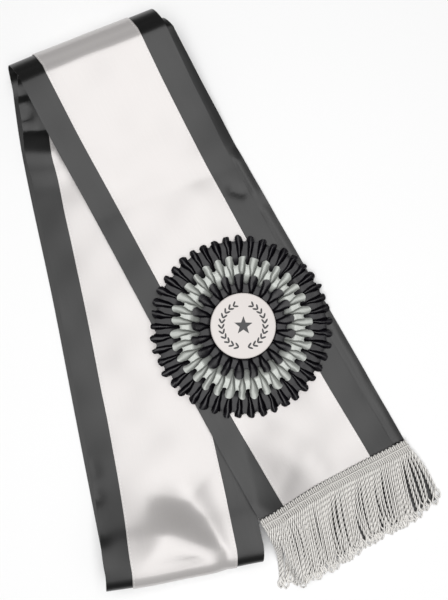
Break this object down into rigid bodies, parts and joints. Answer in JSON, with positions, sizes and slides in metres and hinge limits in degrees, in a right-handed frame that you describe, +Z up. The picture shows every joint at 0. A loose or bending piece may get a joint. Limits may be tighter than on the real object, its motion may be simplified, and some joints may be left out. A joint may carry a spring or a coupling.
{
  "type": "pageant sash",
  "caption": "Satin sash folded in half twice and laid flat, with a bullion fringe on its top end and a pleated rosette round a plain disc.",
  "frame": {"origin": "middle of the underside of the folded sash, on the table", "axes": "+X to the right and +Y away from a viewer who stands at the fringed end, +Z up"},
  "size_m": [0.4362, 0.5806, 0.0439],
  "materials": {
    "charcoal_satin": "satin",
    "white_satin": "satin",
    "silver_bullion": "twisted rayon",
    "silver_satin": "satin",
    "black_satin": "satin",
    "felt_card": "matte",
    "disc_face": "satin"
  },
  "bodies": {
    "root": {"backing_ribbon": "charcoal_satin", "centre_ribbon": "white_satin", "bullion_fringe": "silver_bullion", "rosette_card": "felt_card", "rosette_outer_ruffle": "black_satin", "rosette_middle_ruffle": "silver_satin", "rosette_inner_ruffle": "black_satin", "rosette_disc": "disc_face"}
  },
  "joints": []
}
